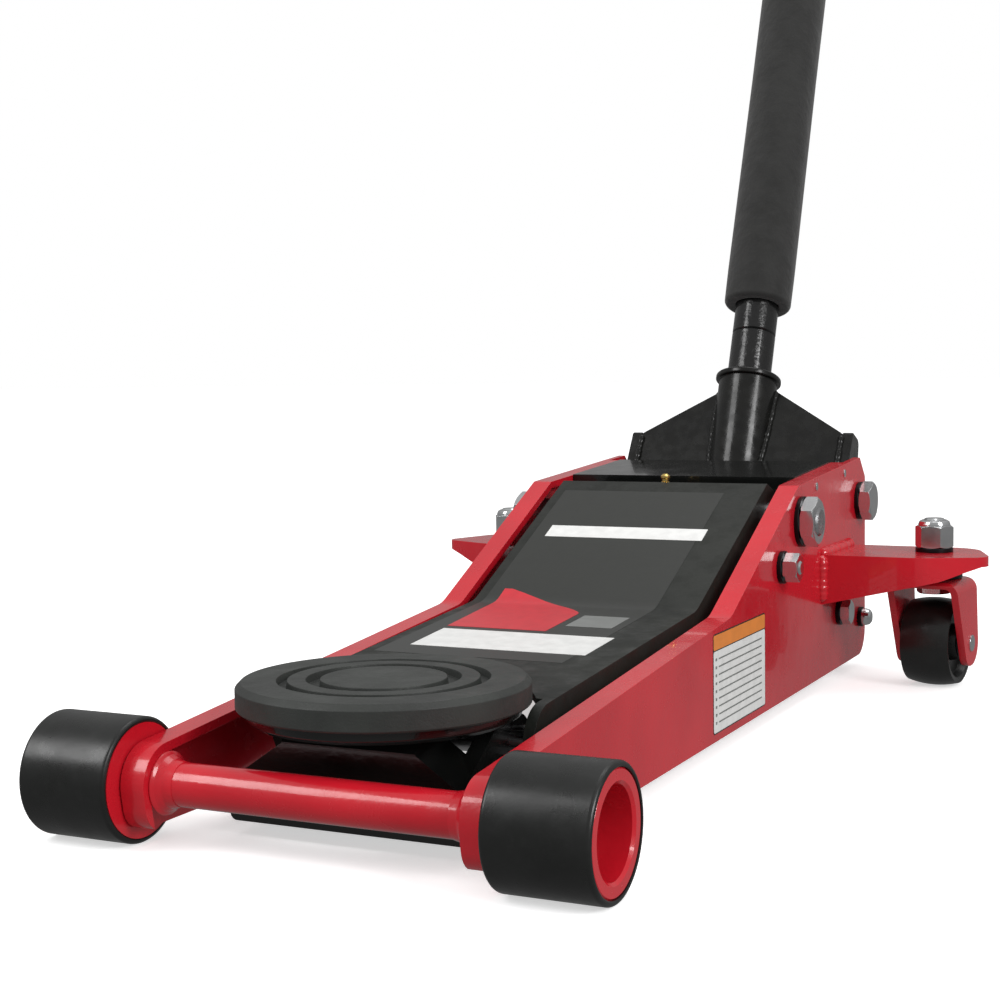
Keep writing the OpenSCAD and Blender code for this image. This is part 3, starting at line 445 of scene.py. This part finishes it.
def soften(node, radius):
    """Rounds a CAD node's edges with modifiers, which leave its own mesh as it is."""
    piece = NODES[node]
    shade_smooth(piece.data)
    weld = piece.modifiers.new("weld", "WELD")
    weld.merge_threshold = 0.00001
    flat = piece.modifiers.new("flat", "DECIMATE")
    flat.decimate_type = "DISSOLVE"
    flat.angle_limit = math.radians(0.6)
    bevel = piece.modifiers.new("edges", "BEVEL")
    bevel.width = radius * MM
    bevel.segments = 3 if radius > 0.5 else 2
    bevel.limit_method = "ANGLE"
    bevel.angle_limit = math.radians(32)
    bevel.use_clamp_overlap = True
    normals = piece.modifiers.new("normals", "WEIGHTED_NORMAL")
    normals.keep_sharp = True


def soften_nodes():
    """Softens the edges of every node in the table."""
    for radius, names in EDGE_RADII.items():
        for name in names:
            soften(name, radius)


def smooth_round_nodes():
    """Shades the round nodes smooth but for their sharp edges."""
    for name in ROUND_NODES:
        shade_smooth(NODES[name].data)
        NODES[name].data.set_sharp_from_angle(angle=math.radians(30))


# ---- Making pieces ----

FILLET_STEPS = 6


def add_piece(name, points, faces, material, smooth_angle=35):
    """New object of welded, outward faces, shaded smooth up to that angle in degrees."""
    mesh = bpy.data.meshes.new(name)
    mesh.from_pydata(points, [], faces)
    made = bmesh.new()
    made.from_mesh(mesh)
    bmesh.ops.remove_doubles(made, verts=made.verts, dist=1e-6)
    bmesh.ops.recalc_face_normals(made, faces=made.faces)
    made.to_mesh(mesh)
    made.free()
    shade_smooth(mesh)
    mesh.set_sharp_from_angle(angle=math.radians(smooth_angle))
    mesh.materials.append(material)
    piece = bpy.data.objects.new(name, mesh)
    COLLECTION.objects.link(piece)
    return piece


def rounded(points):
    """Closed outline of (radius, along, corner radius) with its corners rounded."""
    outline = []
    count = len(points)
    for k, (r, a, fillet) in enumerate(points):
        here = Vector((r, a))
        if fillet <= 0:
            outline.append(here)
            continue
        before = (Vector(points[k - 1][:2]) - here).normalized()
        after = (Vector(points[(k + 1) % count][:2]) - here).normalized()
        half = before.angle(after) / 2
        reach = fillet / math.tan(half)
        centre = here + (before + after).normalized() * fillet / math.sin(half)
        start = here + before * reach - centre
        finish = here + after * reach - centre
        sweep = start.angle_signed(finish)
        for step in range(FILLET_STEPS + 1):
            outline.append(centre + Matrix.Rotation(-sweep * step / FILLET_STEPS, 2) @ start)
    return outline


def lathe(name, profile, origin, axis, material, segments=96):
    """Solid of revolution: profile of (radius, distance along the axis, corner radius) in millimetres."""
    along = Vector(axis).normalized()
    side = along.orthogonal().normalized()
    other = along.cross(side)
    outline = rounded(profile)
    points = []
    faces = []
    count = len(outline)
    for k in range(segments):
        turn = math.tau * k / segments
        out = side * math.cos(turn) + other * math.sin(turn)
        points.extend(Vector(origin) + (out * p.x + along * p.y) * MM for p in outline)
        after = (k + 1) % segments
        for i in range(count):
            j = (i + 1) % count
            faces.append((k * count + i, k * count + j, after * count + j, after * count + i))
    return add_piece(name, points, faces, material)


def tube(name, path, radii, material, sides=10):
    """Closed tube along a path in metres, with a radius in millimetres at each point."""
    points = []
    faces = []
    normal = (path[1] - path[0]).orthogonal().normalized()
    last = len(path) - 1
    for k, place in enumerate(path):
        ahead = (path[min(k + 1, last)] - path[max(k - 1, 0)]).normalized()
        normal = (normal - ahead * normal.dot(ahead)).normalized()
        binormal = ahead.cross(normal)
        for i in range(sides):
            turn = math.tau * i / sides
            points.append(place + (normal * math.cos(turn) + binormal * math.sin(turn)) * radii[k] * MM)
    for k in range(last):
        for i in range(sides):
            j = (i + 1) % sides
            a = k * sides
            faces.append((a + i, a + j, a + sides + j, a + sides + i))
    faces.append(tuple(range(sides)))
    faces.append(tuple(last * sides + i for i in range(sides)))
    return add_piece(name, points, faces, material, 60)


# Distance between the rings of a weld bead, in millimetres
RIPPLE_PITCH = 0.8


def weld_bead(name, corners, radius, material, body):
    """Rippled bead of weld laid along a line of corners in metres."""
    path = []
    for a, b in zip(corners, corners[1:]):
        steps = max(2, round((b - a).length / (RIPPLE_PITCH * MM)))
        path.extend(a.lerp(b, k / steps) for k in range(steps))
    path.append(corners[-1])
    radii = []
    last = len(path) - 1
    for k in range(len(path)):
        end = min(1, 0.25 + min(k, last - k) / 4)
        ripple = 1 + 0.05 * math.sin(k * 1.1) + 0.07 * math.sin(k * 0.31 + radius)
        radii.append(radius * end * ripple * random.uniform(0.985, 1.015))
    bead = tube(name, path, radii, material)
    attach(bead, body)


# ---- Frame ----

def add_frame_welds():
    """Beads round the caster brackets and fillets where the front bar meets the plates."""
    bracket_low, bracket_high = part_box("caster_bracket_right")
    for side, name in SIDES:
        x = side * (PLATE_OUT + 0.4 * MM)
        top = bracket_high.z + 0.8 * MM
        front = bracket_low.y - 0.6 * MM
        weld_bead("weld_bracket_top_" + name, [
            Vector((x, bracket_low.y - 1 * MM, top)), Vector((x, bracket_high.y - 4 * MM, top))
        ], 4.2, RED, "chassis")
        weld_bead("weld_bracket_front_" + name, [
            Vector((x, front, bracket_high.z)), Vector((x, front, bracket_low.z + 2 * MM))
        ], 4.6, RED, "chassis")
        collar = lathe("axle_bar_fillet_" + name, [
            (10.4, 0, 0), (17, 0, 0.6), (14.2, 2.2, 2), (12.3, 5, 3), (11.25, 10, 0), (10.4, 10, 0)
        ], (side * FLANGE_IN, AXLE.y, AXLE.z), (-side, 0, 0), RED)
        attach(collar, "chassis")


# Thickness of one layer of printed film, in millimetres
FILM = 0.12


def add_plate_label():
    """Blank label on the right-hand plate: a coloured band, a pale panel and plain ruled lines."""
    low = Vector((PLATE_OUT, station(284), 14 * MM))
    width, height = 103, 60.5
    margin, band = 0.8, 9
    rules, pitch = 9, 4.8

    def film(name, y0, y1, z0, z1, layer, material, corner):
        """Film with cut corners; its edges are in millimetres from the label's lower front corner."""
        thickness = FILM * (layer + 1)
        outline = [Vector((y0 + corner, z0)), Vector((y1 - corner, z0)), Vector((y1, z0 + corner)),
                   Vector((y1, z1 - corner)), Vector((y1 - corner, z1)), Vector((y0 + corner, z1)),
                   Vector((y0, z1 - corner)), Vector((y0, z0 + corner))]
        count = len(outline)
        points = []
        for depth in (0, thickness):
            points.extend(low + Vector((depth, v.x, v.y)) * MM for v in outline)
        faces = [tuple(range(count)), tuple(range(count, 2 * count))]
        faces.extend((i, (i + 1) % count, (i + 1) % count + count, i + count) for i in range(count))
        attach(add_piece(name, points, faces, material), "chassis")

    film("label_border", 0, width, 0, height, 0, DARK_PRINT, 1.5)
    film("label_panel", margin, width - margin, margin, height - band - 1.5, 1, WHITE_PRINT, 1.0)
    film("label_band", margin, width - margin, height - band - margin, height - margin, 1, ORANGE_PRINT, 1.0)
    for k in range(rules):
        z = height - 16 - k * pitch
        film("label_rule_%d" % k, 10, width - 8, z, z + 0.9, 2, GREY_PRINT, 0.2)
        film("label_tick_%d" % k, 4, 6.5, z - 0.4, z + 1.3, 2, GREY_PRINT, 0.2)


# ---- Lift arm ----

def add_arm_print():
    """Plain printed fields on the arm's top: no lettering."""
    arm = NODES["lift_arm"].data
    surface = BVHTree.FromPolygons([v.co for v in arm.vertices], [tuple(f.vertices) for f in arm.polygons])

    columns = 12

    def drape(name, rows, layer, material):
        """Film over the arm; rows are (station, left edge, right edge) in millimetres."""
        points = []
        faces = []
        for y, x0, x1 in rows:
            for k in range(columns + 1):
                x = (x0 + (x1 - x0) * k / columns) * MM
                top = surface.ray_cast(Vector((x, station(y), 1)), Vector((0, 0, -1)))[0]
                points.append(top + Vector((0, 0, (0.1 + 0.13 * layer) * MM)))
        wide = columns + 1
        for r in range(len(rows) - 1):
            for k in range(columns):
                a = r * wide + k
                faces.append((a, a + 1, a + 1 + wide, a + wide))
        film = add_piece(name, points, faces, material)
        body = film.modifiers.new("body", "SOLIDIFY")
        body.thickness = FILM * MM
        body.offset = -1
        edges = film.modifiers.new("edges", "EDGE_SPLIT")
        edges.split_angle = math.radians(40)
        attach(film, "lift_arm")

    def span(y0, y1):
        """Stations about 4 mm apart from y0 to y1."""
        count = max(1, round((y1 - y0) / 4))
        return [y0 + (y1 - y0) * k / count for k in range(count + 1)]

    red_front, red_rear = 246, 334
    taper_start, taper_length = 296, 39

    def red_left(y):
        return -58 - 3 * (y - red_front) / (red_rear - red_front)

    def red_right(y):
        """Straight at first, then curving in towards the left edge."""
        return 8 - 66 * max(0, (y - taper_start) / taper_length) ** 1.6

    drape("arm_field", [(y, -70, 50) for y in span(176, 455)], 0, DECAL_FIELD)
    drape("arm_strip", [(y, -60, 54) for y in span(396, 409.5)], 1, WHITE_PRINT)
    drape("arm_block_white", [(y, -56 - (y - 195) * 0.02, 55.5) for y in span(195, 239)], 1, WHITE_PRINT)
    drape("arm_block_red", [(y, red_left(y), red_right(y)) for y in span(red_front, red_rear)], 1, RED_PRINT)
    drape("arm_block_grey", [(y, 14, 44) for y in span(262, 292)], 1, GREY_PRINT)


# ---- Springs ----

SPRING_WIRE = 0.95
STEPS_PER_TURN = 14
HOOK_STEPS = 15
HOOK_SWEEP = 190


def helix(centre, start, end, radius, turns):
    """Helix along Y from start to end, at the centre's X and Z, with a radius in millimetres."""
    path = []
    steps = turns * STEPS_PER_TURN
    for k in range(steps + 1):
        turn = math.tau * k / STEPS_PER_TURN
        path.append(Vector((centre.x + radius * MM * math.cos(turn),
                            start + (end - start) * k / steps,
                            centre.z + radius * MM * math.sin(turn))))
    return path


def hook(centre, pin, radius, first):
    """Half turn round a pin at that Y, from an angle in degrees, with a radius in metres."""
    path = []
    for k in range(HOOK_STEPS + 1):
        turn = math.radians(first + HOOK_SWEEP * k / HOOK_STEPS)
        path.append(Vector((centre.x, pin - radius * math.cos(turn), centre.z + radius * math.sin(turn))))
    return path


def add_springs():
    """Coils in place of the CAD's plain tubes."""
    front_hook, rear_hook = 8.4 * MM, 5.4 * MM
    low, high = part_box("return_springs")
    for side, name in SIDES:
        centre = Vector((side * (high.x - 5.5 * MM), 0, (low.z + high.z) / 2))
        start, end = low.y + 2 * MM, high.y - 2 * MM
        path = hook(centre, start - front_hook, front_hook, -200)
        path += helix(centre, start, end, 4.5, 30)
        path += hook(centre, end + rear_hook, rear_hook, 10)
        coil = tube("return_spring_" + name, path, [SPRING_WIRE] * len(path), SPRING, 8)
        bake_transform(coil)
        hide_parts("return_springs")
    low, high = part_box("pump_spring")
    centre = middle("pump_spring")
    path = helix(centre, low.y + 1 * MM, high.y - 1 * MM, 8, 7)
    coil = tube("pump_spring_coil", path, [SPRING_WIRE] * len(path), SPRING, 8)
    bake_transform(coil)
    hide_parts("pump_spring")


# ---- Yoke and handle ----

HANDLE_BACK = HANDLE_AXIS.cross(Vector((1, 0, 0)))


def on_handle(x, y, z):
    """Point in the handle's own frame, in millimetres from the yoke pivot."""
    return YOKE + (Vector((1, 0, 0)) * x + HANDLE_BACK * y + HANDLE_AXIS * z) * MM


def along_handle(node):
    """Distances in millimetres from the yoke pivot to a node's ends, along the handle."""
    reach = [(v.co - YOKE).dot(HANDLE_AXIS) / MM for v in NODES[node].data.vertices]
    return min(reach), max(reach)


def add_yoke_welds():
    """Seams where the leaning gusset meets the handle's socket and the yoke's ears."""
    lean = math.tan(math.radians(11))
    gusset_top, gusset_thickness = 92, 8.15
    socket_radius = 23.7
    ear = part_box("yoke_ear_right")[0].x / MM

    def gusset_front(z):
        return 2 - (gusset_top - z) * lean

    for side, name in SIDES:
        for face, offset in (("front", 0), ("back", gusset_thickness)):
            seam = []
            for z in range(22, gusset_top + 1, 5):
                y = gusset_front(z) + offset
                seam.append(on_handle(side * math.sqrt(socket_radius ** 2 - y * y), y, z))
            weld_bead("weld_socket_%s_%s" % (face, name), seam, 2.6, CAST_BLACK, "yoke")
        seam = [on_handle(side * (ear - 0.3), gusset_front(z) - 0.2, z) for z in (4, 28, 51)]
        weld_bead("weld_ear_" + name, seam, 2.6, CAST_BLACK, "yoke")


def half_width(node):
    """Half of a node's width in millimetres."""
    low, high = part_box(node)
    return (high.x - low.x) / 2 / MM


def add_foam():
    """Foam sleeve, soft at its ends and slightly waisted."""
    start, end = along_handle("foam_sleeve")
    outer = half_width("foam_sleeve")
    inner = half_width("handle_upper_tube") + 0.15
    foam = lathe("foam", [
        (inner, start + 0.6, 1), (outer - 0.4, start, 3.5), (outer - 0.1, start + 30, 0),
        (outer - 0.5, (start + end) / 2, 0), (outer - 0.1, end - 30, 0), (outer - 0.4, end, 3.5),
        (inner, end - 0.6, 1)
    ], YOKE, HANDLE_AXIS, FOAM, 112)
    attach(foam, "handle")
    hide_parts("foam_sleeve")


def add_grip():
    """Rubber grip with a collar, a row of ribs and a closed end."""
    start, end = along_handle("handle_grip")
    outer = half_width("handle_grip")
    inner = half_width("handle_upper_tube") + 0.1
    profile = [(inner, start, 0.3), (outer - 1.5, start, 1), (outer - 0.2, start + 3, 1),
               (outer - 0.2, start + 9, 1)]
    ribs, pitch = 15, 9.4
    for k in range(ribs):
        z = start + 14 + k * pitch
        profile.extend([(outer - 1.6, z, 0.5), (outer - 1.6, z + 2.6, 0.5), (outer - 0.3, z + 3.6, 0.7),
                        (outer - 0.3, z + 8.2, 0.7)])
    profile.extend([(outer, end - 10, 1.5), (outer, end - 0.2, 3), (0, end - 0.2, 0), (0, end - 8, 0),
                    (inner, end - 8, 0)])
    grip = lathe("grip", profile, YOKE, HANDLE_AXIS, GRIP)
    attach(grip, "handle")
    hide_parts("handle_grip")


add_camera()
add_lights()
add_world()
bpy.context.scene.view_settings.view_transform = "Standard"
add_floor()
paint_nodes()
soften_nodes()
smooth_round_nodes()
add_frame_welds()
add_plate_label()
add_arm_print()
add_springs()
add_yoke_welds()
add_foam()
add_grip()
